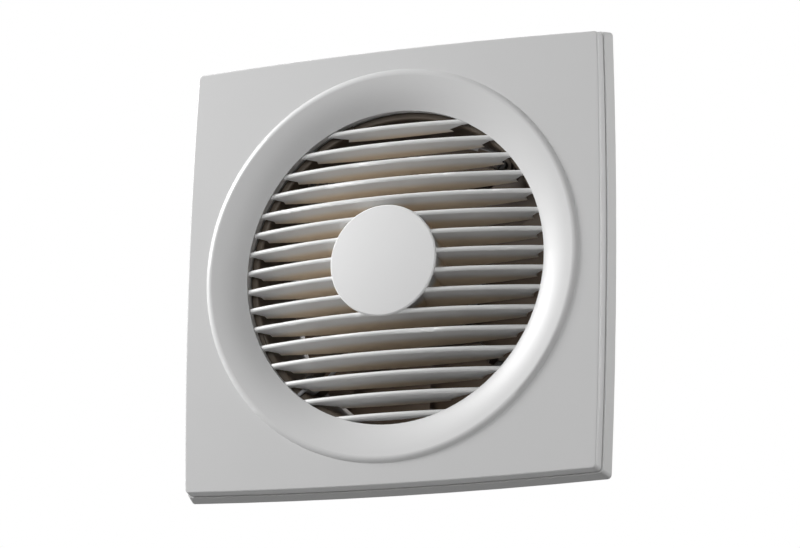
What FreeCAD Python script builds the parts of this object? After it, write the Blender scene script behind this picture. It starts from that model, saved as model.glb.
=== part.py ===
import FreeCAD, Part
import math
import os
import re

import Sketcher
from FreeCAD import Placement, Rotation, Vector

# A wall exhaust fan. Axes: +Y runs along the fan's axis into the wall, +Z up, the room is at -Y.
# The wall plane is y = 0. All lengths are millimetres.

os.makedirs("parts", exist_ok=True)
doc = FreeCAD.newDocument("wall_exhaust_fan")
sheet = doc.addObject("Spreadsheet::Sheet", "Sizes")

SIZES = [
    # Front cover
    ("panel_bow", 2.7, "how far each side bows outward"),
    ("corner_radius", 3, "rounding of the four corners"),
    ("edge_radius", 1.0, "rounding of the cover's front edge"),
    ("cover_skirt", 7.5, "depth of the cover's skirt"),
    ("cover_draft", 1.0, "how much the skirt widens towards the wall, each side"),
    ("cover_wall", 2.2, "wall thickness of the cover"),
    ("funnel_width", 22.8, "mouth to the crest of the round bead"),
    ("panel_margin", 14, "crest of the bead to the corner line of the panel"),
    ("bead_width", 3, "crest to foot of the bead, outside"),
    ("bead_rise", 2, "crest of the bead in front of the cover's edge"),
    ("face_crown", 0.6, "foot of the bead in front of the cover's edge"),
    ("face_fall", 0.015, "fall of the face outward, per millimetre"),
    ("mouth_radius", 102.2, "mouth of the cover"),
    ("mouth_setback", 6, "mouth behind the cover's edge"),
    ("funnel_bend", 62, "radius of the funnel's rounding"),
    ("shadow_gap", 0.8, "gap between cover and base frame"),
    ("post_offset", 18.8, "cover's posts outside the mouth"),
    ("post_radius", 4, "radius of the cover's posts"),
    # Base frame and barrel
    ("frame_height", 9.7, "height of the base frame on the wall"),
    ("frame_step", 0.8, "step from the skirt out to the frame"),
    ("frame_flare", 2.2, "how much the frame widens towards the wall, each side"),
    ("frame_wall", 2.4, "wall thickness of the frame"),
    ("plate", 2.5, "thickness of the frame's back plate"),
    ("rib_inset", 2.4, "locating rib inside the cover's edge line"),
    ("rib_wall", 2, "thickness of the locating rib"),
    ("rib_height", 3.8, "locating rib in front of the frame"),
    ("barrel_inset", 3.2, "barrel's bore inside the mouth"),
    ("barrel_wall", 2.5, "wall thickness of the barrel"),
    ("barrel_step", 2, "step from the barrel out to its shoulder in the frame"),
    ("barrel_length", 92, "barrel behind the wall plane"),
    ("ear_offset", 4.6, "barrel's screws outside the barrel"),
    ("ear_plate", 1.5, "thickness of the barrel's ears"),
    ("wall_hole_inset", 23, "wall screws inside the corner line of the panel"),
    ("wall_hole_radius", 2.75, "radius of the wall screw holes"),
    # Grille
    ("collar_clear", 0.3, "collar's bore outside the mouth"),
    ("collar_wall", 2, "wall thickness of the collar"),
    ("collar_depth", 3.7, "depth of the collar"),
    ("rim_inset", 2.2, "rim of the dome of slats inside the mouth"),
    ("dome_height", 17.4, "rise of the dome of slats"),
    ("slat_drop", 1.93, "how far the slats as a set sit below the axis"),
    ("slat_thickness", 3.2, "thickness of a slat"),
    ("slat_slope", 14, "slope of a slat at its nose, in degrees"),
    ("slat_level", 6, "slope of a slat at its back, in degrees"),
    ("slat_bend", 245, "radius that a slat bends with"),
    ("slat_foot", 1.2, "depth of a slat's joint with the collar"),
    ("slat_gap", 4.5, "gap between the slats' backs and the motor carrier"),
    ("slat_end_gap", 3.8, "slats' ends inside the barrel's bore"),
    ("hub_radius", 34.6, "radius of the grille's hub"),
    ("hub_wall", 2, "wall thickness of the hub"),
    ("cap_lip", 1.4, "centre cap outside the hub"),
    ("cap_edge", 2, "height of the cap's side wall"),
    ("cap_crown", 1.6, "crown of the cap"),
    ("lug_offset", 6.3, "grille's screws outside the mouth"),
    # Motor and carrier
    ("carrier_front", 2, "front of the motor carrier behind the wall plane"),
    ("carrier_plate", 4, "thickness of the carrier's plate"),
    ("carrier_lip", 4, "carrier's plate outside the motor"),
    ("arm_depth", 12, "depth of a carrier arm along the axis"),
    ("arm_width", 5, "width of a carrier arm"),
    ("foot_inset", 6.5, "carrier's feet inside the barrel's bore"),
    ("foot_radius", 5.8, "radius of a carrier foot"),
    ("foot_plate", 4, "thickness of a carrier foot"),
    ("motor_radius", 38, "radius of the motor"),
    ("motor_length", 40, "length of the motor"),
    ("shield_wall", 2.5, "wall thickness of the motor's shields"),
    ("stack_length", 14, "length of the laminated stack"),
    ("yoke_width", 8, "width of the stack's yoke"),
    ("pole_width", 14, "width of a stator pole"),
    ("coil_build", 4, "thickness of a coil"),
    ("pole_height", 9.6, "height of a stator pole"),
    ("air_gap", 0.4, "gap between rotor and stator"),
    ("bolt_inset", 3.7, "motor's bolts inside the motor's radius"),
    ("bolt_radius", 2, "radius of the motor's bolts"),
    ("bearing_outer", 11, "outer radius of a bearing"),
    ("bearing_width", 7, "width of a bearing"),
    ("ball_circle", 7.5, "distance of the balls from the axis"),
    ("ball_radius", 1.5, "radius of a ball"),
    ("shaft_radius", 4, "radius of the shaft"),
    # Impeller
    ("tip_gap", 2, "gap between blade tips and barrel"),
    ("impeller_gap", 3, "gap between motor and impeller"),
    ("impeller_depth", 32, "depth of the impeller's hub"),
    ("impeller_hub", 36, "radius of the impeller's hub"),
    ("impeller_wall", 2.5, "wall thickness of the impeller's hub"),
    ("blade_thickness", 2.6, "thickness of a blade"),
    ("blade_camber", 5, "camber of a blade"),
    ("thread_radius", 3, "radius of the shaft's thread"),
    # Wiring
    ("lead_radius", 1.3, "radius of the motor lead"),
    ("lead_bend", 3.5, "radius of the motor lead's bends"),
    ("lead_inset", 1.8, "motor lead inside the barrel's bore"),
    ("block_offset", 30.8, "terminal block outside the mouth"),
    ("block_width", 18, "terminal block along the radius"),
    ("block_length", 34, "terminal block across the radius"),
    ("block_height", 10, "height of the terminal block"),
    ("grommet_offset", 25.8, "cable grommet outside the mouth"),
    ("grommet_bore", 4, "inner radius of the cable grommet"),
]

SLATS = 16
BLADES = 9
BALLS = 7
CORNERS = 4
POLES = 4
TERMINALS = 3

for row, (alias, value, note) in enumerate(SIZES, start=1):
    sheet.set(f"A{row}", note)
    sheet.set(f"B{row}", str(value))
    sheet.setAlias(f"B{row}", alias)
doc.recompute()

ALIASES = re.compile(r"\b(" + "|".join(alias for alias, _, _ in SIZES) + r")\b")

# Sizes that follow from the sizes above, so that pieces that belong together keep together.
DERIVED = {
    "bead_radius": "mouth_radius + funnel_width",
    "panel_side": "2 * (bead_radius + panel_margin)",
    "post_circle": "mouth_radius + post_offset",
    "barrel_bore": "mouth_radius - barrel_inset",
    "wall_hole_spacing": "panel_side - 2 * wall_hole_inset",
    "ear_circle": "barrel_bore + barrel_wall + ear_offset",
    "collar_bore": "mouth_radius + collar_clear",
    "dome_rim": "mouth_radius - rim_inset",
    "slat_pitch": f"2 * dome_rim / {SLATS}",
    "cap_radius": "hub_radius + cap_lip",
    "lug_circle": "mouth_radius + lug_offset",
    "carrier_radius": "motor_radius + carrier_lip",
    "foot_circle": "barrel_bore - foot_inset",
    "rotor_radius": "motor_radius - yoke_width - pole_height - air_gap",
    "bolt_circle": "motor_radius - bolt_inset",
    "block_circle": "mouth_radius + block_offset",
    "grommet_circle": "mouth_radius + grommet_offset",
}
DERIVED_NAMES = re.compile(r"\b(" + "|".join(DERIVED) + r")\b")

# Places along the axis and radii that several pieces share, as formulas of the sizes above.
COVER_BACK = "(-frame_height - shadow_gap)"
COVER_EDGE = f"({COVER_BACK} - cover_skirt)"
BEAD_CREST = f"({COVER_EDGE} - bead_rise)"
BEAD_FOOT = f"({COVER_EDGE} - face_crown)"
BEAD_FOOT_RADIUS = "(bead_radius + bead_width)"
MOUTH = f"({COVER_EDGE} + mouth_setback)"
CEILING = f"({COVER_EDGE} + cover_wall + 0.4)"
ISLAND = f"({BEAD_FOOT_RADIUS} + 3)"
COVER_SHARPEN = "cover_draft / cover_skirt"
PLATE_FRONT = "(-plate)"
BARREL_OUTSIDE = "(barrel_bore + barrel_wall)"
BARREL_SHOULDER = f"({BARREL_OUTSIDE} + barrel_step)"
EAR_FRONT = f"({PLATE_FRONT} - ear_plate)"
EAR_ANGLE = 22.5
COLLAR_FRONT = f"({COVER_BACK} + 0.3)"
COLLAR_BACK = f"({COLLAR_FRONT} + collar_depth)"
COLLAR_OUTSIDE = "(collar_bore + collar_wall)"
DOME_TOP = f"({MOUTH} - 0.3 - dome_height)"
DOME_RADIUS = "((dome_rim^2 + dome_height^2) / (2 * dome_height))"
DOME_CENTRE = f"({DOME_TOP} + {DOME_RADIUS})"
CAP_SEAT = f"({DOME_CENTRE} - sqrt({DOME_RADIUS}^2 - cap_radius^2) + 1)"
BOSS_BACK = f"({COLLAR_BACK} - 2.7)"
SLAT_BACK = "(carrier_front - slat_gap)"
HUB_END = f"({SLAT_BACK} - 0.6)"
CARRIER_BACK = "(carrier_front + arm_depth)"
FOOT_FRONT = f"({CARRIER_BACK} - foot_plate)"
MOTOR_FRONT = "(carrier_front + carrier_plate)"
MOTOR_BACK = f"({MOTOR_FRONT} + motor_length)"
STACK_FRONT = f"({MOTOR_FRONT} + (motor_length - stack_length) / 2)"
STACK_BACK = f"({STACK_FRONT} + stack_length)"
FRONT_BEARING = f"({MOTOR_FRONT} + shield_wall)"
REAR_BEARING = f"({MOTOR_BACK} - shield_wall - bearing_width - 0.6)"
YOKE_BORE = "(motor_radius - yoke_width)"
STATOR_BORE = "(rotor_radius + air_gap)"
HUB_FRONT = f"({MOTOR_BACK} + impeller_gap)"
HUB_BACK = f"({HUB_FRONT} + impeller_depth)"
BOSS_SEAT = f"({HUB_BACK} - 5)"
TIP_RADIUS = "(barrel_bore - tip_gap)"
PIN_PLACE = f"({HUB_FRONT} + 9)"
BLOCK_NEAR = "(block_circle - block_width / 2)"
LEAD_ANGLE = 225
GROMMET_ANGLE = 205
LEAD_SIDE = "(arm_width / 2 + 5)"
LEAD_LOW = f"({MOTOR_FRONT} + 5)"
LEAD_HIGH = f"({PLATE_FRONT} - lead_radius - 0.25)"


def formula(text):
    """The text with derived sizes worked out and every size's name pointed at its cell."""
    while DERIVED_NAMES.search(text):
        text = DERIVED_NAMES.sub(lambda found: f"({DERIVED[found.group()]})", text)
    return ALIASES.sub(r"Sizes.\1", text)


def number(text):
    """The value of a formula as it stands in the sheet."""
    return float(sheet.evalExpression(formula(text)))


def tie(thing, prop, text):
    """Bind one property of an object to a formula of the sheet."""
    thing.setExpression(prop, formula(text))


def new_body(label, turn=0):
    """An empty body, turned about the fan's axis so that its own X points at that angle."""
    body = doc.addObject("PartDesign::Body", label)
    body.Label = label
    body.Placement = Placement(Vector(), Rotation(Vector(0, 1, 0), -turn))
    return body


def origin(body, role):
    """One of the body's own planes or axes."""
    return next(feature for feature in body.Origin.OriginFeatures if feature.Role == role)


def new_sketch(body, role, away=None):
    """A sketch on a plane of the body, moved along the plane's normal."""
    sketch = body.newObject("Sketcher::SketchObject", "outline")
    sketch.AttachmentSupport = (origin(body, role), "")
    sketch.MapMode = "FlatFace"
    if away is not None:
        tie(sketch, "AttachmentOffset.Base.z", away)
    return sketch


def facing(body, y):
    """A sketch across the fan's axis at the place y; it looks at the room."""
    return new_sketch(body, "XZ_Plane", f"-({y})")


def pin_point(sketch, geometry, end, x, y):
    """Fix one point of a sketch at two formulas."""
    for kind, axis, text in (("DistanceX", -2, x), ("DistanceY", -1, y)):
        if text == "0":
            sketch.addConstraint(Sketcher.Constraint("PointOnObject", geometry, end, axis))
            continue
        index = sketch.addConstraint(Sketcher.Constraint(kind, -1, 1, geometry, end, number(text)))
        name = f"c{index}"
        sketch.renameConstraint(index, name)
        tie(sketch, f"Constraints.{name}", text)


def arc_between(start, stop, radius, left):
    """The short arc from start to stop; left says that it turns left on its way."""
    middle = (start + stop) * 0.5
    along = stop - start
    reach = math.sqrt(radius ** 2 - along.Length ** 2 / 4)
    side = Vector(-along.y, along.x, 0).normalize() * (reach if left else -reach)
    centre = middle + side
    first, last = (start, stop) if left else (stop, start)
    turns = [math.atan2(point.y - centre.y, point.x - centre.x) for point in (first, last)]
    circle = Part.Circle(centre, Vector(0, 0, 1), radius)
    return Part.ArcOfCircle(circle, turns[0], turns[1])


def trace(sketch, corners, shut):
    """Lines and arcs from corner to corner. A corner is (x, y), or (x, y, radius, left) where an arc
    leads on from it. A shut outline comes back to its first corner."""
    points = [Vector(number(corner[0]), number(corner[1]), 0) for corner in corners]
    runs = []
    for place, corner in enumerate(corners if shut else corners[:-1]):
        start, stop = points[place], points[(place + 1) % len(points)]
        if len(corner) == 2:
            runs.append((sketch.addGeometry(Part.LineSegment(start, stop)), 1, 2))
            continue
        radius, left = corner[2], corner[3]
        arc = sketch.addGeometry(arc_between(start, stop, number(radius), left))
        index = sketch.addConstraint(Sketcher.Constraint("Radius", arc, number(radius)))
        sketch.renameConstraint(index, f"bend{index}")
        tie(sketch, f"Constraints.bend{index}", radius)
        runs.append((arc, 1, 2) if left else (arc, 2, 1))
    for place, (geometry, start_end, stop_end) in enumerate(runs):
        pin_point(sketch, geometry, start_end, corners[place][0], corners[place][1])
        if shut or place + 1 < len(runs):
            after, after_end, _ = runs[(place + 1) % len(runs)]
            sketch.addConstraint(Sketcher.Constraint("Coincident", geometry, stop_end, after, after_end))
        else:
            pin_point(sketch, geometry, stop_end, corners[-1][0], corners[-1][1])


def closed(sketch, corners):
    """A closed outline of lines and arcs."""
    trace(sketch, corners, True)


def ring(sketch, x, y, radius):
    """A circle in a sketch."""
    place = Vector(number(x), number(y), 0)
    circle = sketch.addGeometry(Part.Circle(place, Vector(0, 0, 1), number(radius)))
    pin_point(sketch, circle, 3, x, y)
    index = sketch.addConstraint(Sketcher.Constraint("Radius", circle, number(radius)))
    sketch.renameConstraint(index, f"bend{index}")
    tie(sketch, f"Constraints.bend{index}", radius)


def own_axis(sketch, x):
    """A construction line along the fan's axis at the distance x, to turn the sketch about."""
    line = Part.LineSegment(Vector(number(x), 0, 0), Vector(number(x), 1, 0))
    axis = sketch.addGeometry(line, True)
    pin_point(sketch, axis, 1, x, "0")
    pin_point(sketch, axis, 2, x, "1")


def rectangle(sketch, x0, x1, y0, y1):
    """An upright rectangle in a sketch."""
    closed(sketch, [(x0, y0), (x1, y0), (x1, y1), (x0, y1)])


def pillow(sketch, half):
    """The square outline with bowed sides; half is the middle of a side at its corners."""
    low = f"-({half})"
    bend = f"(({half})^2 + panel_bow^2) / (2 * panel_bow)"
    closed(sketch, [(half, low, bend, True), (half, half, bend, True),
                    (low, half, bend, True), (low, low, bend, True)])


def feature(body, kind, sketch, **settings):
    """A feature of the body made from a sketch."""
    made = body.newObject(f"PartDesign::{kind}", kind.lower())
    made.Profile = sketch
    for name, value in settings.items():
        setattr(made, name, value)
    body.Tip = made
    return made


def pad(body, sketch, length):
    """Raise a sketch towards the room."""
    made = feature(body, "Pad", sketch)
    tie(made, "Length", length)
    return made


def bore(body, sketch, depth=None):
    """Cut a sketch away from the room, to a depth or right through both ways."""
    if depth is None:
        return feature(body, "Pocket", sketch, Type="ThroughAll", Midplane=True)
    made = feature(body, "Pocket", sketch)
    tie(made, "Length", depth)
    return made


def spun(body, corners, kind="Revolution"):
    """Turn an outline of (radius, place along the axis) about the fan's axis, to add or to cut."""
    sketch = new_sketch(body, "XY_Plane")
    closed(sketch, corners)
    return feature(body, kind, sketch, ReferenceAxis=(sketch, ["V_Axis"]), Angle=360)


def spun_aside(body, sketch):
    """Turn a sketch about its own construction line."""
    return feature(body, "Revolution", sketch, ReferenceAxis=(sketch, ["Axis0"]), Angle=360)


def around(body, features, count):
    """Repeat features evenly about the fan's axis."""
    pattern = body.newObject("PartDesign::PolarPattern", "around")
    pattern.Originals = features
    pattern.Axis = (origin(body, "Y_Axis"), [""])
    pattern.Angle = 360
    pattern.Occurrences = count
    body.Tip = pattern
    return pattern


def turned(label, corners):
    """A whole piece turned about the fan's axis."""
    body = new_body(label)
    spun(body, corners)
    return body


def tube(label, inner, outer, y0, y1):
    """A plain ring about the fan's axis."""
    return turned(label, [(inner, y0), (outer, y0), (outer, y1), (inner, y1)])


def rounded(body, edges, radius):
    """Round some edges of the body as it stands."""
    made = body.newObject("PartDesign::Fillet", "rounding")
    made.Base = (body.Tip if made is not body.Tip else made.BaseFeature, edges)
    tie(made, "Radius", radius)
    body.Tip = made
    return made


def corner_edges(body):
    """The names of the four edges at the corners of a pillow outline."""
    names = []
    for place, edge in enumerate(body.Shape.Edges, start=1):
        first, last = edge.Vertexes[0].Point, edge.Vertexes[-1].Point
        run = last - first
        if abs(run.y) > 0.9 * run.Length and run.Length > 1:
            names.append(f"Edge{place}")
    return names


def screws(label, circle, seat, head, shank, way=1, turn=0):
    """Four slotted screws about the fan's axis. The seat is where the heads rest; head and shank are
    (radius, length); way is 1 with the heads towards the room and -1 with the heads towards the wall."""
    body = new_body(label, turn)
    sketch = new_sketch(body, "XY_Plane")
    top = f"({seat} - {way} * {head[1]})"
    shoulder = f"({seat} - {way} * 0.4 * {head[1]})"
    taper = f"({seat} + {way} * ({shank[1]} - {shank[0]}))"
    tip = f"({seat} + {way} * {shank[1]})"
    closed(sketch, [(circle, top), (f"{circle} + 0.8 * {head[0]}", top),
                    (f"{circle} + {head[0]}", shoulder), (f"{circle} + {head[0]}", seat),
                    (f"{circle} + {shank[0]}", seat), (f"{circle} + {shank[0]}", taper),
                    (f"{circle} + 0.4 * {shank[0]}", tip), (circle, tip)])
    own_axis(sketch, circle)
    screw = spun_aside(body, sketch)
    slot_sketch = facing(body, top)
    rectangle(slot_sketch, f"{circle} - 2 * {head[0]}", f"{circle} + 2 * {head[0]}",
              f"-0.14 * {head[0]}", f"0.14 * {head[0]}")
    slot = bore(body, slot_sketch, f"0.45 * {head[1]}")
    slot.Reversed = way < 0
    around(body, [screw, slot], CORNERS)
    return body


def box(x0, x1, y0, y1, z0, z1):
    """A block between six formulas."""
    block = doc.addObject("Part::Box", "block")
    for prop, low, high in (("Length", x0, x1), ("Width", y0, y1), ("Height", z0, z1)):
        tie(block, prop, f"({high}) - ({low})")
    for axis, low in (("x", x0), ("y", y0), ("z", z0)):
        tie(block, f"Placement.Base.{axis}", low)
    return block


def combine(kind, label, *pieces):
    """A cut of two pieces, or a fuse, common or compound of several."""
    made = doc.addObject(f"Part::{kind}", label)
    made.Label = label
    if kind.startswith("Multi"):
        made.Refine = False
    if kind == "Cut":
        made.Base, made.Tool = pieces
    elif kind == "Compound":
        made.Links = list(pieces)
    else:
        made.Shapes = list(pieces)
    return made


def at_angle(label, piece, angles):
    """Copies of a piece turned about the fan's axis, as one node."""
    copies = []
    for angle in angles:
        copy = doc.addObject("App::Link", "copy")
        copy.LinkedObject = piece
        copy.LinkPlacement = Placement(Vector(), Rotation(Vector(0, 1, 0), -angle))
        copies.append(copy)
    return combine("Compound", label, *copies)


def front_cover():
    """The front cover: a skirted square, its face crowned, with bead, funnel, mouth and four posts."""
    body = new_body("front_cover")
    back_half = "(panel_side / 2 + cover_draft)"
    ahead = f"({COVER_EDGE} - 5)"
    front_half = f"({back_half} + ({ahead} - {COVER_BACK}) * {COVER_SHARPEN})"
    back_outline = facing(body, COVER_BACK)
    pillow(back_outline, back_half)
    front_outline = facing(body, ahead)
    pillow(front_outline, front_half)
    feature(body, "AdditiveLoft", back_outline, Sections=[front_outline], Ruled=True)
    doc.recompute()
    rounded(body, corner_edges(body), "corner_radius")
    far = "(panel_side)"
    face_far = f"({BEAD_FOOT} + face_fall * ({far} - {BEAD_FOOT_RADIUS}))"
    spun(body, [("0", f"{COVER_BACK} + 1"), ("mouth_radius", f"{COVER_BACK} + 1"),
                ("mouth_radius", MOUTH, "funnel_bend", True),
                ("bead_radius - 1", BEAD_CREST),
                ("bead_radius", BEAD_CREST, "1.4 * bead_width", True),
                (BEAD_FOOT_RADIUS, BEAD_FOOT), (far, face_far), (far, "-60"), ("0", "-60")], "Groove")
    doc.recompute()
    front_edges = []
    for place, edge in enumerate(body.Shape.Edges, start=1):
        spots = [edge.valueAt(edge.FirstParameter + (edge.LastParameter - edge.FirstParameter) * part)
                 for part in (0.1, 0.5, 0.9)]
        outside = all(max(abs(spot.x), abs(spot.z)) > number("panel_side / 2 - 4") for spot in spots)
        if outside and all(spot.y < number(f"{COVER_EDGE} + 2") for spot in spots):
            front_edges.append(f"Edge{place}")
    rounded(body, front_edges, "edge_radius")
    hollow = facing(body, CEILING)
    pillow(hollow, "panel_side / 2 - cover_wall + 0.4")
    ring(hollow, "0", "0", ISLAND)
    bore(body, hollow, "30")
    spun(body, [("mouth_radius + cover_wall", f"{COVER_BACK} + 1"),
                ("mouth_radius + cover_wall", f"{MOUTH} + cover_wall"),
                ("bead_radius - 1.5", f"{BEAD_CREST} + cover_wall"),
                (ISLAND, CEILING), (f"{ISLAND} + 0.2", CEILING),
                (f"{ISLAND} + 0.2", f"{COVER_BACK} + 1")], "Groove")
    post_sketch = facing(body, f"{PLATE_FRONT} - 1")
    ring(post_sketch, "post_circle", "0", "post_radius")
    post = pad(body, post_sketch, f"{PLATE_FRONT} - 1 - ({BEAD_CREST}) - cover_wall")
    groove_place = f"({PLATE_FRONT} - 4)"
    neck_sketch = facing(body, groove_place)
    ring(neck_sketch, "post_circle", "0", "post_radius + 1")
    ring(neck_sketch, "post_circle", "0", "post_radius - 1.4")
    neck = bore(body, neck_sketch, "1.6")
    boss_sketch = facing(body, BOSS_BACK)
    ring(boss_sketch, "lug_circle", "0", "3")
    boss = pad(body, boss_sketch, f"({BOSS_BACK}) - ({MOUTH}) + 0.6")
    pilot_sketch = facing(body, f"{MOUTH} - 0.2")
    ring(pilot_sketch, "lug_circle", "0", "1.3")
    pilot = bore(body, pilot_sketch, "10")
    around(body, [post, neck, boss, pilot], CORNERS)
    return body


def dome_at(radius):
    """Where the dome of slats stands along the axis at a distance from it."""
    return f"({DOME_CENTRE} - sqrt({DOME_RADIUS}^2 - ({radius})^2))"


def slat_section(sketch, height):
    """The section of one slat: a round nose on the dome and a blade that flattens towards its back."""
    centre_y = f"{dome_at(height)} + slat_thickness / 2 * cos(slat_slope) + slat_bend * sin(slat_slope)"
    centre_z = f"{height} - slat_thickness / 2 * sin(slat_slope) + slat_bend * cos(slat_slope)"

    def corner(slope, radius):
        return f"{centre_y} - {radius} * sin({slope})", f"{centre_z} - {radius} * cos({slope})"

    under = "(slat_bend + slat_thickness / 2)"
    upper = "(slat_bend - slat_thickness / 2)"
    closed(sketch, [(*corner("slat_slope", under), under, True), corner("slat_level", under),
                    (*corner("slat_level", upper), upper, False),
                    (*corner("slat_slope", upper), "0.51 * slat_thickness", True)])


def inlet_grille():
    """The grille: collar, hub and curved slats whose noses lie on a dome and whose backs lie in one plane."""
    slab_body = new_body("slat_blanks")
    sections = new_sketch(slab_body, "YZ_Plane")
    own_axis(sections, DOME_CENTRE)
    for slat in range(SLATS):
        slat_section(sections, f"({slat - (SLATS - 1) / 2} * slat_pitch - slat_drop)")
    blanks = feature(slab_body, "Revolution", sections, ReferenceAxis=(sections, ["Axis0"]), Midplane=True)
    tie(blanks, "Angle", f"2 * asin((dome_rim + 6) / ({DOME_RADIUS} - 2 * dome_height))")
    cap_space = "(cap_radius + 0.2)"
    slat_end = "(mouth_radius - 0.3)"
    joint_radius = "(collar_bore + collar_wall / 2)"
    joint_back = f"({COLLAR_FRONT} + slat_foot)"
    inside_hub = "(hub_radius - hub_wall / 2)"
    space = turned("slat_space", [(inside_hub, SLAT_BACK), ("barrel_bore - slat_end_gap", SLAT_BACK),
                                  ("barrel_bore - slat_end_gap", f"{COLLAR_BACK} + 0.7"),
                                  ("collar_bore - 2.5", joint_back), (joint_radius, joint_back),
                                  (joint_radius, COLLAR_FRONT), (slat_end, COLLAR_FRONT),
                                  (slat_end, f"{dome_at(slat_end)} - 2", DOME_RADIUS, False),
                                  (cap_space, f"{dome_at(cap_space)} - 2"),
                                  (cap_space, CAP_SEAT), (inside_hub, CAP_SEAT)])
    slats = combine("MultiCommon", "slats", slab_body, space)
    frame = new_body("grille_frame")
    spun(frame, [("collar_bore", COLLAR_FRONT), (COLLAR_OUTSIDE, COLLAR_FRONT),
                 (COLLAR_OUTSIDE, COLLAR_BACK), ("collar_bore", COLLAR_BACK)])
    lug_sketch = facing(frame, COLLAR_BACK)
    rectangle(lug_sketch, "collar_bore + 0.5", "lug_circle + 3.5", "-5", "5")
    lug = pad(frame, lug_sketch, "2.7")
    hole_sketch = facing(frame, COLLAR_BACK)
    ring(hole_sketch, "lug_circle", "0", "1.7")
    hole = bore(frame, hole_sketch)
    around(frame, [lug, hole], CORNERS)
    hub = turned("grille_hub", [("0", CAP_SEAT), ("hub_radius", CAP_SEAT), ("hub_radius", HUB_END),
                                ("hub_radius - hub_wall", HUB_END),
                                ("hub_radius - hub_wall", f"{CAP_SEAT} + hub_wall"),
                                ("0", f"{CAP_SEAT} + hub_wall")])
    return combine("MultiFuse", "inlet_grille", frame, hub, slats)


def centre_cap():
    """The plain round cap on the grille's hub."""
    top = f"({CAP_SEAT} - cap_edge)"
    crown_bend = "(cap_radius^2 + cap_crown^2) / (2 * cap_crown)"
    return turned("centre_cap", [("0", CAP_SEAT), ("0", f"{top} - cap_crown", crown_bend, True),
                                 ("cap_radius - 0.8", top), ("cap_radius", f"{top} + 0.8"),
                                 ("cap_radius", CAP_SEAT)])


def grip_rings():
    """Rubber rings in the necks of the cover's posts, which hold the cover by friction."""
    body = new_body("cover_grip_rings")
    sketch = new_sketch(body, "XY_Plane")
    middle = f"({PLATE_FRONT} - 3.2)"
    ring(sketch, "post_circle + post_radius - 0.6", middle, "0.7")
    own_axis(sketch, "post_circle")
    grip = spun_aside(body, sketch)
    around(body, [grip], CORNERS)
    return body


def base_frame():
    """The base frame on the wall: a plate with a rim, a locating rib and sockets for the cover's posts."""
    body = new_body("base_frame")
    front_half = "(panel_side / 2 + cover_draft + frame_step)"
    wall_outline = facing(body, "0")
    pillow(wall_outline, f"({front_half} + frame_flare)")
    front_outline = facing(body, "-frame_height")
    pillow(front_outline, front_half)
    feature(body, "AdditiveLoft", wall_outline, Sections=[front_outline], Ruled=True)
    doc.recompute()
    rounded(body, corner_edges(body), "corner_radius")
    tray = facing(body, "-frame_height - 1")
    pillow(tray, f"{front_half} - frame_wall")
    bore(body, tray, "frame_height + 1 - plate")
    rib = facing(body, PLATE_FRONT)
    pillow(rib, "panel_side / 2 - rib_inset")
    pillow(rib, "panel_side / 2 - rib_inset - rib_wall")
    pad(body, rib, "frame_height - plate + rib_height")
    throat = facing(body, "0")
    ring(throat, "0", "0", f"{BARREL_SHOULDER} + 0.2")
    bore(body, throat)
    socket_sketch = facing(body, PLATE_FRONT)
    ring(socket_sketch, "post_circle", "0", "post_radius + 2.5")
    socket = pad(body, socket_sketch, "frame_height - plate + 0.4")
    well_sketch = facing(body, "-frame_height - 1")
    ring(well_sketch, "post_circle", "0", "post_radius + 0.3")
    well = bore(body, well_sketch, "frame_height + 1 - plate + 0.6")
    around(body, [socket, well], CORNERS)
    pilot_sketch = facing(body, PLATE_FRONT)
    ring(pilot_sketch, f"ear_circle * cos({EAR_ANGLE})", f"ear_circle * sin({EAR_ANGLE})", "1.1")
    pilot = bore(body, pilot_sketch, "plate - 0.4")
    around(body, [pilot], CORNERS)
    holes = facing(body, "0")
    for across in ("-wall_hole_spacing / 2", "wall_hole_spacing / 2"):
        for upward in ("-wall_hole_spacing / 2", "wall_hole_spacing / 2"):
            ring(holes, across, upward, "wall_hole_radius")
    ring(holes, f"grommet_circle * cos({GROMMET_ANGLE})", f"grommet_circle * sin({GROMMET_ANGLE})",
         "grommet_bore + 3")
    bore(body, holes)
    return body


def wall_barrel():
    """The round barrel through the wall, with ears that lie on the base frame and posts for the carrier."""
    body = new_body("wall_barrel", EAR_ANGLE)
    spun(body, [("barrel_bore + 1.5", PLATE_FRONT), (BARREL_SHOULDER, PLATE_FRONT), (BARREL_SHOULDER, "0"),
                (BARREL_OUTSIDE, "0"), (BARREL_OUTSIDE, "barrel_length - 1"),
                (f"{BARREL_OUTSIDE} - 1", "barrel_length"), ("barrel_bore", "barrel_length"),
                ("barrel_bore", f"{PLATE_FRONT} + 1.5", "1.5", True)])
    ear_sketch = facing(body, PLATE_FRONT)
    rectangle(ear_sketch, "barrel_bore + 1.5", "ear_circle + 3.9", "-6", "6")
    ear = pad(body, ear_sketch, "ear_plate")
    hole_sketch = facing(body, PLATE_FRONT)
    ring(hole_sketch, "ear_circle", "0", "1.5")
    hole = bore(body, hole_sketch)
    boss_sketch = facing(body, f"{CARRIER_BACK} + 12")
    across, upward = f"foot_circle * cos(45 - {EAR_ANGLE})", f"foot_circle * sin(45 - {EAR_ANGLE})"
    ring(boss_sketch, across, upward, "foot_radius + 1.2")
    boss = pad(body, boss_sketch, "12")
    pilot_sketch = facing(body, CARRIER_BACK)
    ring(pilot_sketch, across, upward, "1.6")
    pilot = bore(body, pilot_sketch, "10")
    around(body, [ear, hole, boss, pilot], CORNERS)
    return body


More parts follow.
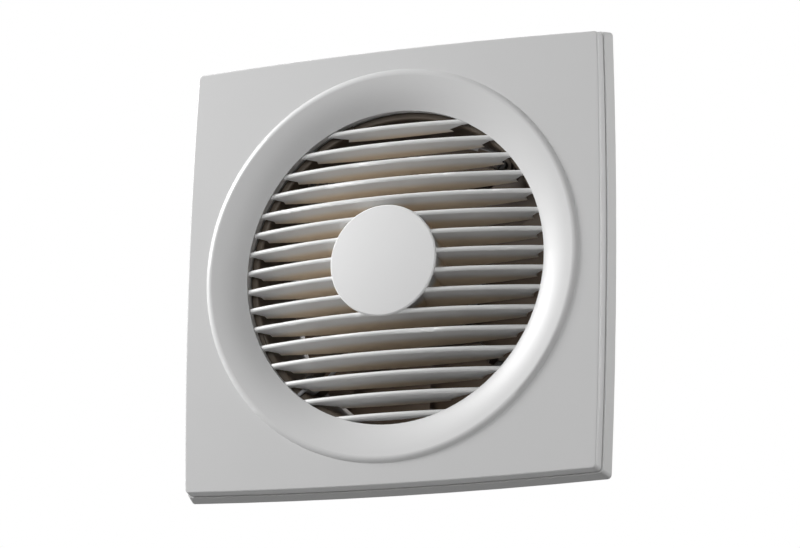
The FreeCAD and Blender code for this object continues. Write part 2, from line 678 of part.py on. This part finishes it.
def motor_carrier():
    """The plate that carries the motor and its four arms."""
    body = new_body("motor_carrier", 45)
    spun(body, [("14", "carrier_front"), ("carrier_radius - 1", "carrier_front"),
                ("carrier_radius", "carrier_front + 1"), ("carrier_radius", MOTOR_FRONT),
                ("14", MOTOR_FRONT)])
    bolt_sketch = facing(body, "0")
    ring(bolt_sketch, "bolt_circle * cos(45)", "bolt_circle * cos(45)", "bolt_radius + 0.2")
    bolt_hole = bore(body, bolt_sketch)
    arm_sketch = facing(body, CARRIER_BACK)
    rectangle(arm_sketch, "carrier_radius - 3", "foot_circle", "-arm_width / 2", "arm_width / 2")
    arm = pad(body, arm_sketch, "arm_depth")
    foot_sketch = facing(body, CARRIER_BACK)
    ring(foot_sketch, "foot_circle", "0", "foot_radius")
    foot = pad(body, foot_sketch, "foot_plate")
    well_sketch = facing(body, "0")
    ring(well_sketch, "foot_circle", "0", "foot_radius - 1")
    well = bore(body, well_sketch, FOOT_FRONT)
    screw_sketch = facing(body, "0")
    ring(screw_sketch, "foot_circle", "0", "1.9")
    screw_hole = bore(body, screw_sketch)
    around(body, [bolt_hole, arm, foot, well, screw_hole], CORNERS)
    return body


def motor_shields():
    """Front and rear shield of the motor, each a cup with a bearing seat; the lead leaves the front one."""
    seat = "(bearing_outer + 3)"
    front = new_body("motor_front_shield", LEAD_ANGLE)
    spun(front, [("0", MOTOR_FRONT), ("motor_radius - 1", MOTOR_FRONT),
                 ("motor_radius", f"{MOTOR_FRONT} + 1"), ("motor_radius", STACK_FRONT),
                 ("motor_radius - shield_wall", STACK_FRONT),
                 ("motor_radius - shield_wall", FRONT_BEARING), (seat, FRONT_BEARING),
                 (seat, f"{FRONT_BEARING} + bearing_width"),
                 ("bearing_outer", f"{FRONT_BEARING} + bearing_width"),
                 ("bearing_outer", FRONT_BEARING), ("0", FRONT_BEARING)])
    lead_sketch = new_sketch(front, "YZ_Plane", "motor_radius - 8")
    ring(lead_sketch, LEAD_LOW, LEAD_SIDE, "lead_radius + 1.4")
    lead_hole = bore(front, lead_sketch, "12")
    lead_hole.Reversed = True
    rear_inside = f"({MOTOR_BACK} - shield_wall)"
    rear = new_body("motor_rear_shield", LEAD_ANGLE)
    spun(rear, [("shaft_radius + 1", rear_inside), ("bearing_outer", rear_inside),
                ("bearing_outer", REAR_BEARING), (seat, REAR_BEARING), (seat, rear_inside),
                ("motor_radius - shield_wall", rear_inside), ("motor_radius - shield_wall", STACK_BACK),
                ("motor_radius", STACK_BACK), ("motor_radius", f"{MOTOR_BACK} - 1"),
                ("motor_radius - 1", MOTOR_BACK), ("shaft_radius + 1", MOTOR_BACK)])
    for body in (front, rear):
        bolt_sketch = facing(body, "0")
        ring(bolt_sketch, "bolt_circle * cos(45)", "bolt_circle * cos(45)", "bolt_radius + 0.2")
        bolt_hole = bore(body, bolt_sketch)
        around(body, [bolt_hole], CORNERS)
    return front, rear


def stator():
    """The laminated stack with its poles, and one coil round each pole."""
    core = new_body("stator_core")
    spun(core, [(YOKE_BORE, STACK_FRONT), ("motor_radius", STACK_FRONT),
                ("motor_radius", STACK_BACK), (YOKE_BORE, STACK_BACK)])
    bolt_sketch = facing(core, "0")
    ring(bolt_sketch, "bolt_circle", "0", "bolt_radius + 0.2")
    bolt_hole = bore(core, bolt_sketch)
    pole_sketch = facing(core, STACK_BACK)
    half = "(pole_width / 2)"
    turn = "cos(45)"
    inner, outer = f"({STATOR_BORE} - 2)", f"({YOKE_BORE} + 1)"
    closed(pole_sketch, [(f"({inner} + {half}) * {turn}", f"({inner} - {half}) * {turn}"),
                         (f"({outer} + {half}) * {turn}", f"({outer} - {half}) * {turn}"),
                         (f"({outer} - {half}) * {turn}", f"({outer} + {half}) * {turn}"),
                         (f"({inner} - {half}) * {turn}", f"({inner} + {half}) * {turn}")])
    pole = pad(core, pole_sketch, "stack_length")
    around(core, [bolt_hole, pole], POLES)
    bore_sketch = facing(core, "0")
    ring(bore_sketch, "0", "0", STATOR_BORE)
    bore(core, bore_sketch)
    slack = "0.2"
    low = f"({STATOR_BORE} + 2.2)"
    high = f"(sqrt({YOKE_BORE}^2 - ({half} + coil_build + {slack})^2) - 0.3)"
    solid = box(low, high, f"{STACK_FRONT} - coil_build - {slack}", f"{STACK_BACK} + coil_build + {slack}",
                f"-{half} - coil_build - {slack}", f"{half} + coil_build + {slack}")
    window = box(f"{low} - 1", f"{high} + 1", f"{STACK_FRONT} - {slack}", f"{STACK_BACK} + {slack}",
                 f"-{half} - {slack}", f"{half} + {slack}")
    coil = combine("Cut", "coil", solid, window)
    coils = at_angle("stator_coils", coil, [45 + 90 * pole for pole in range(POLES)])
    return core, coils


def motor_bolts():
    """Four bolts from the rear shield through the stack to the carrier, and their nuts."""
    body = new_body("motor_bolts")
    sketch = new_sketch(body, "XY_Plane")
    closed(sketch, [("bolt_circle", f"{MOTOR_BACK} + 2.2"), ("bolt_circle", "carrier_front - 4"),
                    ("bolt_circle + bolt_radius", "carrier_front - 4"),
                    ("bolt_circle + bolt_radius", MOTOR_BACK), ("bolt_circle + 3.2", MOTOR_BACK),
                    ("bolt_circle + 3.2", f"{MOTOR_BACK} + 2.2")])
    own_axis(sketch, "bolt_circle")
    bolt = spun_aside(body, sketch)
    around(body, [bolt], CORNERS)
    nuts = new_body("motor_nuts")
    nut_sketch = facing(nuts, "carrier_front")
    hexagon(nut_sketch, "bolt_circle", "3.5")
    ring(nut_sketch, "bolt_circle", "0", "bolt_radius + 0.05")
    nut = pad(nuts, nut_sketch, "3")
    around(nuts, [nut], CORNERS)
    return body, nuts


def hexagon(sketch, x, flat):
    """A hexagon at (x, 0) in a sketch; flat is half its width over the flats."""
    corners = []
    for side in range(6):
        angle = 60 * side
        corners.append((f"{x} + {flat} / cos(30) * cos({angle})", f"{flat} / cos(30) * sin({angle})"))
    closed(sketch, corners)


def bearing(name, place):
    """One ball bearing: outer ring, balls and inner ring."""
    back = f"({place} + bearing_width)"
    outer = tube(f"{name}_bearing_outer", "ball_circle + ball_radius + 0.05", "bearing_outer", place, back)
    inner = tube(f"{name}_bearing_inner", "shaft_radius", "ball_circle - ball_radius - 0.3", place, back)
    balls = new_body(f"{name}_bearing_balls")
    sketch = new_sketch(balls, "XY_Plane")
    middle = f"({place} + bearing_width / 2)"
    closed(sketch, [("ball_circle", f"{middle} - ball_radius", "ball_radius", True),
                    ("ball_circle + ball_radius", middle, "ball_radius", True),
                    ("ball_circle", f"{middle} + ball_radius")])
    own_axis(sketch, "ball_circle")
    ball = spun_aside(balls, sketch)
    around(balls, [ball], BALLS)
    return outer, balls, inner


def rotor():
    """Shaft, rotor core and its end rings."""
    front_end = f"({FRONT_BEARING} + 0.8)"
    shaft = turned("rotor_shaft", [("0", front_end), ("shaft_radius - 0.5", front_end),
                                   ("shaft_radius", f"{front_end} + 0.5"), ("shaft_radius", BOSS_SEAT),
                                   ("thread_radius", BOSS_SEAT), ("thread_radius", f"{BOSS_SEAT} + 7"),
                                   ("thread_radius - 0.6", f"{BOSS_SEAT} + 7.6"),
                                   ("0", f"{BOSS_SEAT} + 7.6")])
    pin_sketch = new_sketch(shaft, "YZ_Plane")
    ring(pin_sketch, PIN_PLACE, "0", "1.5")
    bore(shaft, pin_sketch)
    core = tube("rotor_core", "shaft_radius", "rotor_radius", STACK_FRONT, STACK_BACK)
    rings = new_body("rotor_end_rings")
    for near, beyond in ((f"{STACK_FRONT} - 2.5", STACK_FRONT), (STACK_BACK, f"{STACK_BACK} + 2.5")):
        spun(rings, [("rotor_radius - 7", near), ("rotor_radius - 0.6", near),
                     ("rotor_radius - 0.6", beyond), ("rotor_radius - 7", beyond)])
    pin = new_body("drive_pin")
    pin_outline = new_sketch(pin, "YZ_Plane", "-7.5")
    ring(pin_outline, PIN_PLACE, "0", "1.5")
    pad(pin, pin_outline, "15")
    return shaft, core, rings, pin


def impeller():
    """The impeller: a hub closed towards the outlet, and lofted, twisted blades."""
    hub = new_body("impeller_core")
    inside = "(impeller_hub - impeller_wall)"
    web = f"({BOSS_SEAT} - 3)"
    spun(hub, [("shaft_radius", f"{PIN_PLACE} - 1.6"), ("9", f"{PIN_PLACE} - 1.6"), ("9", web),
               (inside, web), (inside, HUB_FRONT), ("impeller_hub", HUB_FRONT),
               ("impeller_hub", f"{HUB_BACK} - 2", "2", True), ("impeller_hub - 2", HUB_BACK),
               ("impeller_hub - 8", HUB_BACK), ("impeller_hub - 12", BOSS_SEAT),
               ("shaft_radius", BOSS_SEAT)])
    slot_sketch = facing(hub, f"{PIN_PLACE} - 2")
    rectangle(slot_sketch, "-7.7", "7.7", "-1.6", "1.6")
    bore(hub, slot_sketch, "3.6")
    blank = new_body("blade_blank")
    middle = f"({HUB_FRONT} + impeller_depth / 2)"
    stations = [("impeller_hub / 2", "33", "46"), (f"(impeller_hub + {TIP_RADIUS}) / 2", "84", "69.5"),
                (f"{TIP_RADIUS} + 6", "124", "77")]
    sections = []
    for radius, chord, stagger in stations:
        sketch = new_sketch(blank, "YZ_Plane", radius)
        along, across = f"{chord} / 2 * cos({stagger})", f"{chord} / 2 * sin({stagger})"
        bends = []
        for sagitta in ("(blade_camber + blade_thickness / 2)", "(blade_camber - blade_thickness / 2)"):
            bends.append(f"(({chord} / 2)^2 + {sagitta}^2) / (2 * {sagitta})")
        closed(sketch, [(f"{middle} - {along}", across, bends[1], True),
                        (f"{middle} + {along}", f"-({across})", bends[0], False)])
        sections.append(sketch)
    feature(blank, "AdditiveLoft", sections[0], Sections=sections[1:])
    space = tube("blade_space", "impeller_hub - impeller_wall / 2", TIP_RADIUS,
                 f"{HUB_FRONT} - 10", f"{HUB_BACK} + 10")
    blade = combine("MultiCommon", "blade", blank, space)
    blades = at_angle("blades", blade, [360 / BLADES * place for place in range(BLADES)])
    return combine("MultiFuse", "impeller", hub, blades)


def impeller_fixings():
    """Washer and nut that hold the impeller on the shaft."""
    washer = tube("impeller_washer", "thread_radius + 0.1", "8", BOSS_SEAT, f"{BOSS_SEAT} + 1.2")
    nut = new_body("impeller_nut")
    sketch = facing(nut, f"{BOSS_SEAT} + 6")
    hexagon(sketch, "0", "5")
    ring(sketch, "0", "0", "thread_radius")
    pad(nut, sketch, "4.8")
    return washer, nut


def terminal_block():
    """The terminal block in the lower left corner, with its screws."""
    far = "(block_circle + block_width / 2)"
    body = new_body("terminal_block", LEAD_ANGLE)
    outline = facing(body, PLATE_FRONT)
    rectangle(outline, BLOCK_NEAR, far, "-block_length / 2", "block_length / 2")
    pad(body, outline, "block_height")
    pole = "(block_length / 3)"
    wells = facing(body, f"{PLATE_FRONT} - block_height")
    for place in range(TERMINALS):
        for reach in ("block_circle - block_width / 4", "block_circle + block_width / 4"):
            ring(wells, reach, f"({place - 1}) * {pole}", "2.4")
    bore(body, wells, "3")
    entries = new_sketch(body, "YZ_Plane", far)
    for place in range(TERMINALS):
        ring(entries, f"{PLATE_FRONT} - block_height / 2 + 1", f"({place - 1}) * {pole}", "1.7")
    bore(body, entries, "5")
    lead_sketch = new_sketch(body, "YZ_Plane", BLOCK_NEAR)
    ring(lead_sketch, LEAD_HIGH, LEAD_SIDE, "lead_radius + 0.2")
    lead_hole = bore(body, lead_sketch, "4")
    lead_hole.Reversed = True
    heads = []
    for place in range(TERMINALS):
        for reach in ("block_circle - block_width / 4", "block_circle + block_width / 4"):
            head = doc.addObject("Part::Cylinder", "terminal_head")
            tie(head, "Radius", "2.1")
            tie(head, "Height", "2")
            head.Placement = Placement(Vector(), Rotation(Vector(1, 0, 0), 90))
            across = f"({place - 1}) * {pole}"
            sideways = f"({reach}) * cos({LEAD_ANGLE}) - {across} * sin({LEAD_ANGLE})"
            upward = f"({reach}) * sin({LEAD_ANGLE}) + {across} * cos({LEAD_ANGLE})"
            tie(head, "Placement.Base.x", sideways)
            tie(head, "Placement.Base.z", upward)
            tie(head, "Placement.Base.y", f"{PLATE_FRONT} - block_height + 3")
            slot = box(f"{sideways} - 3", f"{sideways} + 3", f"{PLATE_FRONT} - block_height + 0.5",
                       f"{PLATE_FRONT} - block_height + 1.8", f"{upward} - 0.35", f"{upward} + 0.35")
            heads.append(combine("Cut", "terminal_screw", head, slot))
    return body, combine("Compound", "terminal_screws", *heads)


def motor_lead():
    """The lead from the motor along its arm and over the barrel's edge to the terminal block."""
    body = new_body("motor_lead", LEAD_ANGLE)
    start, stop = "(motor_radius - 5)", f"({BLOCK_NEAR} + 3.5)"
    riser = f"sqrt((barrel_bore - lead_inset)^2 - {LEAD_SIDE}^2)"
    path = new_sketch(body, "XY_Plane", LEAD_SIDE)
    trace(path, [(start, LEAD_LOW), (f"{riser} - lead_bend", LEAD_LOW, "lead_bend", False),
                 (riser, f"{LEAD_LOW} - lead_bend"), (riser, f"{LEAD_HIGH} + lead_bend", "lead_bend", True),
                 (f"{riser} + lead_bend", LEAD_HIGH), (stop, LEAD_HIGH)], False)
    section = new_sketch(body, "YZ_Plane", start)
    ring(section, LEAD_LOW, LEAD_SIDE, "lead_radius")
    doc.recompute()
    feature(body, "AdditivePipe", section, Spine=(path, [f"Edge{run + 1}" for run in range(5)]))
    return body


def lead_fixings():
    """Two ties round arm and lead, and the grommet where the lead leaves the motor."""
    ties = new_body("lead_ties", LEAD_ANGLE)
    for place in ("carrier_radius + 4", "carrier_radius + 12"):
        loop = new_sketch(ties, "YZ_Plane", place)
        for slack in ("0.2", "1.4"):
            rectangle(loop, f"carrier_front - {slack}", f"{CARRIER_BACK} + {slack}",
                      f"-arm_width / 2 - {slack}", f"{LEAD_SIDE} + lead_radius + {slack}")
        pad(ties, loop, "3")
    grommet = new_body("lead_grommet", LEAD_ANGLE)
    for place, radius, length in (("motor_radius - 4", "lead_radius + 1.3", "4.2"),
                                  ("motor_radius + 0.2", "lead_radius + 2.3", "1.4")):
        sleeve = new_sketch(grommet, "YZ_Plane", place)
        ring(sleeve, LEAD_LOW, LEAD_SIDE, radius)
        ring(sleeve, LEAD_LOW, LEAD_SIDE, "lead_radius + 0.1")
        pad(grommet, sleeve, length)
    return ties, grommet


def cable_grommet():
    """The rubber inlet for the supply cable in the back plate."""
    body = new_body("cable_grommet", GROMMET_ANGLE)
    sketch = new_sketch(body, "XY_Plane")
    inner, neck, flange = "grommet_circle + grommet_bore", "grommet_circle + grommet_bore + 2.95", \
        "grommet_circle + grommet_bore + 4.8"
    closed(sketch, [(inner, "0"), (neck, "0"), (neck, PLATE_FRONT), (flange, PLATE_FRONT),
                    (flange, f"{PLATE_FRONT} - 2"), (inner, f"{PLATE_FRONT} - 2")])
    own_axis(sketch, "grommet_circle")
    spun_aside(body, sketch)
    return body


def export(objects):
    """Check every object of the document and write each piece to its own file."""
    doc.recompute()
    for thing in doc.Objects:
        bad = [word for word in thing.State if word in ("Invalid", "Error")]
        if bad:
            raise RuntimeError(f"{thing.Label}: {thing.State}")
    for thing in objects:
        if thing.Shape.isNull() or not thing.Shape.isValid():
            raise RuntimeError(f"{thing.Label}: bad shape")
        thing.Shape.exportStep(f"parts/{thing.Label}.step")


nodes = [front_cover(), inlet_grille(), centre_cap(), grip_rings()]
nodes.extend([base_frame(), wall_barrel(), motor_carrier()])
nodes.append(screws("grille_screws", "lug_circle", COLLAR_BACK, ("3", "2.2"), ("1.25", "5"), way=-1))
nodes.append(screws("barrel_screws", "ear_circle", EAR_FRONT, ("2.6", "1.6"), ("1.05", "3.4"),
                    turn=EAR_ANGLE))
nodes.append(screws("carrier_screws", "foot_circle", FOOT_FRONT, ("3.6", "2.6"), ("1.5", "12"), turn=45))
nodes.extend(motor_shields())
nodes.extend(stator())
nodes.extend(motor_bolts())
nodes.extend(bearing("front", FRONT_BEARING))
nodes.extend(bearing("rear", REAR_BEARING))
nodes.extend(rotor())
nodes.append(impeller())
nodes.extend(impeller_fixings())
nodes.extend(terminal_block())
nodes.append(motor_lead())
nodes.extend(lead_fixings())
nodes.append(cable_grommet())
nodes.append(tube("bearing_spring", "7", "10.4", f"{REAR_BEARING} + bearing_width",
                  f"{MOTOR_BACK} - shield_wall"))
export(nodes)
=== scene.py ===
import math

import bpy
from mathutils import Matrix, Vector

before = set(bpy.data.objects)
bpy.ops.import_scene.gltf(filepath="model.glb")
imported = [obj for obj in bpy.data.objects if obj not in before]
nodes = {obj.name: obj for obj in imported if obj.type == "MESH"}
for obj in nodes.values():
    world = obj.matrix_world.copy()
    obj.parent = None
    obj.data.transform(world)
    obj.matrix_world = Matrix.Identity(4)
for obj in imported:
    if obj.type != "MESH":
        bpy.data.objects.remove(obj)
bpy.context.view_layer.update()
scene = bpy.context.scene
scene.view_settings.view_transform = "Standard"

MM = 0.001
WHITE = (1, 1, 1, 1)
FULL_STRENGTH = 1

# Camera: it stands to the right of the fan and below it. Angles are in degrees, the lens and its sensor in
# millimetres, and the distance, the reach and the target in metres.
CAMERA_AZIMUTH = 23.47
CAMERA_ELEVATION = -14.14
CAMERA_ROLL = 1.05
CAMERA_LENS = 151.5
CAMERA_SENSOR = 36
CAMERA_DISTANCE = 2.121
CAMERA_REACH = 50
CAMERA_TARGET = Vector((7.73, -18.0, -7.27)) * MM

# Lamps: name, azimuth and elevation in degrees, distance in metres, power in watts.
LAMPS = [
    ("key", -72, 27, 1.8, 37),
    ("front", 4, 4, 1.5, 7.2),
    ("side", 96, 14, 1.5, 9),
    ("rear", 165, 12, 1.8, 18),
]
LAMP_SIZE = 0.45

# Surroundings: the strength of the soft light from all round, and the floor in metres.
AMBIENT = 0.04
FLOOR_HEIGHT = -2.6
FLOOR_SIZE = 20
FLOOR_COLOUR = (0.8, 0.8, 0.8, 1)

# The ball that the slats' noses lie on, from which the painted shade behind them is measured: its centre on
# the fan's axis and its radius, in millimetres.
DOME_CENTRE = 266.4
DOME_RADIUS = 296.1

# Finishes: how fine the grain and the mottle are broken up, and how much further than the colour the
# roughness wanders.
GRAIN_DETAIL = 3
MOTTLE_DETAIL = 4
ROUGHNESS_MOTTLE = 2

# Each material's colour and finish, with lengths in millimetres.
MATERIALS = {
    "cover_plastic": dict(colour=(0.70, 0.70, 0.70), roughness=0.42, grain=0.012, grain_size=0.5,
                          mottle=0.015),
    # The grille's second colour is painted shade: a warm darker tone that the slats take on behind their
    # noses, where the recesses are in shade.
    "grille_plastic": dict(colour=(0.82, 0.82, 0.815), roughness=0.45, grain=0.012, grain_size=0.5,
                           mottle=0.02, painted_shade_colour=(0.84, 0.71, 0.55), shade_depths=(6, 14)),
    "cap_plastic": dict(colour=(0.92, 0.92, 0.92), roughness=0.4, grain=0.012, grain_size=0.5,
                        mottle=0.015),
    "frame_plastic": dict(colour=(0.66, 0.66, 0.655), roughness=0.5, grain=0.02, grain_size=0.6,
                          mottle=0.02),
    "barrel_plastic": dict(colour=(0.10, 0.078, 0.057), roughness=0.55, grain=0.02, mottle=0.08),
    "impeller_plastic": dict(colour=(0.14, 0.10, 0.068), roughness=0.5, grain=0.015, mottle=0.08),
    "die_cast": dict(colour=(0.55, 0.56, 0.57), roughness=0.48, metal=1, grain=0.03, grain_size=0.7,
                     mottle=0.05, mottle_size=15),
    "zinc_steel": dict(colour=(0.62, 0.62, 0.6), roughness=0.32, metal=1, grain=0.004, grain_size=0.4,
                       mottle=0.05, mottle_size=5),
    "black_steel": dict(colour=(0.05, 0.048, 0.045), roughness=0.5, metal=0.6, grain=0.006, grain_size=0.4,
                        mottle=0.08, mottle_size=5),
    "bearing_steel": dict(colour=(0.66, 0.66, 0.67), roughness=0.16, metal=1, mottle=0.03, mottle_size=4),
    "shaft_steel": dict(colour=(0.6, 0.6, 0.6), roughness=0.25, metal=1, grain=0.003, grain_size=0.3,
                        mottle=0.03, mottle_size=6),
    "laminations": dict(colour=(0.17, 0.175, 0.185), roughness=0.5, metal=0.8, grain=0.05, grain_size=0.5,
                        mottle=0.08, mottle_size=10),
    "copper_wire": dict(colour=(0.48, 0.2, 0.08), roughness=0.3, metal=0.85, grain=0.08, grain_size=0.5,
                        mottle=0.12, mottle_size=6),
    "black_rubber": dict(colour=(0.022, 0.022, 0.023), roughness=0.7, grain=0.02, grain_size=0.5,
                         mottle=0.1),
    "terminal_plastic": dict(colour=(0.72, 0.69, 0.58), roughness=0.4, grain=0.01, mottle=0.02),
    "lead_sheath": dict(colour=(0.33, 0.33, 0.34), roughness=0.5, grain=0.01, mottle=0.04),
    "tie_nylon": dict(colour=(0.05, 0.05, 0.052), roughness=0.4, grain=0.008, mottle=0.05),
}

# The pieces that each material goes on.
FINISHES = {
    "cover_plastic": ["front_cover"],
    "cap_plastic": ["centre_cap"],
    "grille_plastic": ["inlet_grille"],
    "frame_plastic": ["base_frame"],
    "barrel_plastic": ["wall_barrel", "motor_carrier"],
    "impeller_plastic": ["impeller"],
    "die_cast": ["motor_front_shield", "motor_rear_shield", "rotor_end_rings"],
    "black_steel": ["carrier_screws", "barrel_screws", "motor_bolts", "motor_nuts"],
    "zinc_steel": ["grille_screws", "terminal_screws", "impeller_washer", "impeller_nut", "bearing_spring"],
    "bearing_steel": ["front_bearing_outer", "front_bearing_balls", "front_bearing_inner",
                      "rear_bearing_outer", "rear_bearing_balls", "rear_bearing_inner"],
    "shaft_steel": ["rotor_shaft", "drive_pin"],
    "laminations": ["stator_core", "rotor_core"],
    "copper_wire": ["stator_coils"],
    "black_rubber": ["cable_grommet", "lead_grommet", "cover_grip_rings"],
    "terminal_plastic": ["terminal_block"],
    "lead_sheath": ["motor_lead"],
    "tie_nylon": ["lead_ties"],
}


def direction(azimuth, elevation):
    """The unit vector from the fan towards a place; azimuth 0 is straight in front, positive to the right."""
    around = math.radians(azimuth)
    above = math.radians(elevation)
    return Vector((math.sin(around) * math.cos(above), -math.cos(around) * math.cos(above), math.sin(above)))


def add_camera():
    """The camera at the photograph's viewing angle."""
    back = direction(CAMERA_AZIMUTH, CAMERA_ELEVATION)
    right = (-back).cross(Vector((0, 0, 1))).normalized()
    up = right.cross(-back)
    roll = math.radians(CAMERA_ROLL)
    turned_right = right * math.cos(roll) + up * math.sin(roll)
    turned_up = up * math.cos(roll) - right * math.sin(roll)
    data = bpy.data.cameras.new("camera")
    data.lens = CAMERA_LENS
    data.sensor_width = CAMERA_SENSOR
    data.sensor_fit = "HORIZONTAL"
    data.clip_end = CAMERA_REACH
    camera = bpy.data.objects.new("camera", data)
    turn = Matrix((turned_right, turned_up, back)).transposed()
    camera.matrix_world = Matrix.Translation(CAMERA_TARGET + back * CAMERA_DISTANCE) @ turn.to_4x4()
    scene.collection.objects.link(camera)
    scene.camera = camera


def add_lamp(name, azimuth, elevation, distance, power):
    """A square soft lamp that looks at the middle of the fan's wall plane."""
    data = bpy.data.lights.new(name, "AREA")
    data.size = LAMP_SIZE
    data.energy = power
    lamp = bpy.data.objects.new(name, data)
    lamp.location = direction(azimuth, elevation) * distance
    lamp.rotation_euler = (-lamp.location).to_track_quat("-Z", "Y").to_euler()
    scene.collection.objects.link(lamp)


def seen_directly(tree):
    """A socket that is 1 for rays that come from the camera, a gloss or a glass, and 0 for others."""
    path = tree.nodes.new("ShaderNodeLightPath")
    seen = path.outputs["Is Camera Ray"]
    for name in ("Is Glossy Ray", "Is Transmission Ray"):
        highest = tree.nodes.new("ShaderNodeMath")
        highest.operation = "MAXIMUM"
        tree.links.new(seen, highest.inputs[0])
        tree.links.new(path.outputs[name], highest.inputs[1])
        seen = highest.outputs[0]
    return seen


def show_white(tree, lighting, white, out):
    """Give an output the white shader where it is seen directly, and the lighting one for other rays."""
    mix = tree.nodes.new("ShaderNodeMixShader")
    tree.links.new(seen_directly(tree), mix.inputs["Fac"])
    tree.links.new(lighting.outputs[0], mix.inputs[1])
    tree.links.new(white.outputs[0], mix.inputs[2])
    tree.links.new(mix.outputs[0], out.inputs["Surface"])


def add_world():
    """A white background that lights the scene only softly."""
    world = bpy.data.worlds.new("world")
    world.use_nodes = True
    tree = world.node_tree
    tree.nodes.clear()
    soft = tree.nodes.new("ShaderNodeBackground")
    soft.inputs["Color"].default_value = WHITE
    soft.inputs["Strength"].default_value = AMBIENT
    white = tree.nodes.new("ShaderNodeBackground")
    white.inputs["Color"].default_value = WHITE
    white.inputs["Strength"].default_value = FULL_STRENGTH
    show_white(tree, soft, white, tree.nodes.new("ShaderNodeOutputWorld"))
    scene.world = world


def add_floor():
    """A pale floor well below the fan, which hangs at the height of a wall opening."""
    half = FLOOR_SIZE / 2
    mesh = bpy.data.meshes.new("floor")
    corners = [(-half, -half, FLOOR_HEIGHT), (half, -half, FLOOR_HEIGHT),
               (half, half, FLOOR_HEIGHT), (-half, half, FLOOR_HEIGHT)]
    mesh.from_pydata(corners, [], [(0, 1, 2, 3)])
    floor = bpy.data.objects.new("floor", mesh)
    scene.collection.objects.link(floor)
    material = bpy.data.materials.new("floor")
    material.use_nodes = True
    tree = material.node_tree
    tree.nodes.clear()
    matt = tree.nodes.new("ShaderNodeBsdfDiffuse")
    matt.inputs["Color"].default_value = FLOOR_COLOUR
    white = tree.nodes.new("ShaderNodeEmission")
    white.inputs["Color"].default_value = WHITE
    white.inputs["Strength"].default_value = FULL_STRENGTH
    show_white(tree, matt, white, tree.nodes.new("ShaderNodeOutputMaterial"))
    mesh.materials.append(material)


def noise(tree, place, width, detail):
    """A socket with noise from 0 to 1, whose blotches are about this many millimetres wide."""
    texture = tree.nodes.new("ShaderNodeTexNoise")
    texture.inputs["Scale"].default_value = 1 / (width * MM)
    texture.inputs["Detail"].default_value = detail
    tree.links.new(place, texture.inputs["Vector"])
    return texture.outputs["Fac"]


def wander(tree, blotches, middle, share):
    """A socket whose value follows the blotches about a middle value, by a share of it to each side."""
    spread = tree.nodes.new("ShaderNodeMapRange")
    spread.inputs["To Min"].default_value = middle * (1 - share)
    spread.inputs["To Max"].default_value = middle * (1 + share)
    tree.links.new(blotches, spread.inputs["Value"])
    return spread.outputs["Result"]


def relief(tree, place, grain, grain_size):
    """A socket with the normals of a fine relief, from its depth and its width in millimetres."""
    bump = tree.nodes.new("ShaderNodeBump")
    bump.inputs["Distance"].default_value = grain * MM
    bump.inputs["Strength"].default_value = FULL_STRENGTH
    tree.links.new(noise(tree, place, grain_size, GRAIN_DETAIL), bump.inputs["Height"])
    return bump.outputs["Normal"]


def painted_depth_shade(tree, place, colour, painted_shade_colour, shade_depths):
    """A socket with painted shade: the colour darkens to a warm tone between two depths, in millimetres,
    behind the slats' noses.
    """
    apart = tree.nodes.new("ShaderNodeVectorMath")
    apart.operation = "DISTANCE"
    apart.inputs[1].default_value = (0, DOME_CENTRE * MM, 0)
    near, far = shade_depths
    reach = tree.nodes.new("ShaderNodeMapRange")
    reach.interpolation_type = "SMOOTHSTEP"
    reach.inputs["From Min"].default_value = (DOME_RADIUS - near) * MM
    reach.inputs["From Max"].default_value = (DOME_RADIUS - far) * MM
    blend = tree.nodes.new("ShaderNodeMix")
    blend.data_type = "RGBA"
    blend.inputs["A"].default_value = (*colour, 1)
    blend.inputs["B"].default_value = (*painted_shade_colour, 1)
    tree.links.new(place, apart.inputs[0])
    tree.links.new(apart.outputs["Value"], reach.inputs["Value"])
    tree.links.new(reach.outputs["Result"], blend.inputs["Factor"])
    return blend.outputs["Result"]


def surface(name, colour, roughness, mottle, mottle_size=40, metal=0, grain=0, grain_size=0.8,
            painted_shade_colour=None, shade_depths=None):
    """A procedural material. Mottle is how far the colour wanders over mottle_size; grain is the depth of a
    fine relief and grain_size its width; the colour for the slats' recesses is painted shade, a warm darker
    tone behind the slats' noses past the two depths given."""
    material = bpy.data.materials.new(name)
    material.use_nodes = True
    tree = material.node_tree
    shader = tree.nodes["Principled BSDF"]
    shader.inputs["Base Color"].default_value = (*colour, 1)
    shader.inputs["Roughness"].default_value = roughness
    shader.inputs["Metallic"].default_value = metal
    place = tree.nodes.new("ShaderNodeTexCoord").outputs["Object"]
    if grain:
        tree.links.new(relief(tree, place, grain, grain_size), shader.inputs["Normal"])
    blotches = noise(tree, place, mottle_size, MOTTLE_DETAIL)
    shade = tree.nodes.new("ShaderNodeVectorMath")
    shade.operation = "SCALE"
    shade.inputs[0].default_value = colour
    # Painted shade: the colour turns warm and darker behind the slats' noses.
    if painted_shade_colour is not None:
        tree.links.new(painted_depth_shade(tree, place, colour, painted_shade_colour, shade_depths), shade.inputs[0])
    tree.links.new(wander(tree, blotches, 1, mottle), shade.inputs["Scale"])
    tree.links.new(shade.outputs["Vector"], shader.inputs["Base Color"])
    rough = wander(tree, blotches, roughness, ROUGHNESS_MOTTLE * mottle)
    tree.links.new(rough, shader.inputs["Roughness"])
    return material


def dress():
    """Give every piece its material."""
    for name, pieces in FINISHES.items():
        material = surface(name, **MATERIALS[name])
        for piece in pieces:
            mesh = nodes[piece].data
            mesh.materials.clear()
            mesh.materials.append(material)


add_camera()
add_world()
add_floor()
for settings in LAMPS:
    add_lamp(*settings)
dress()
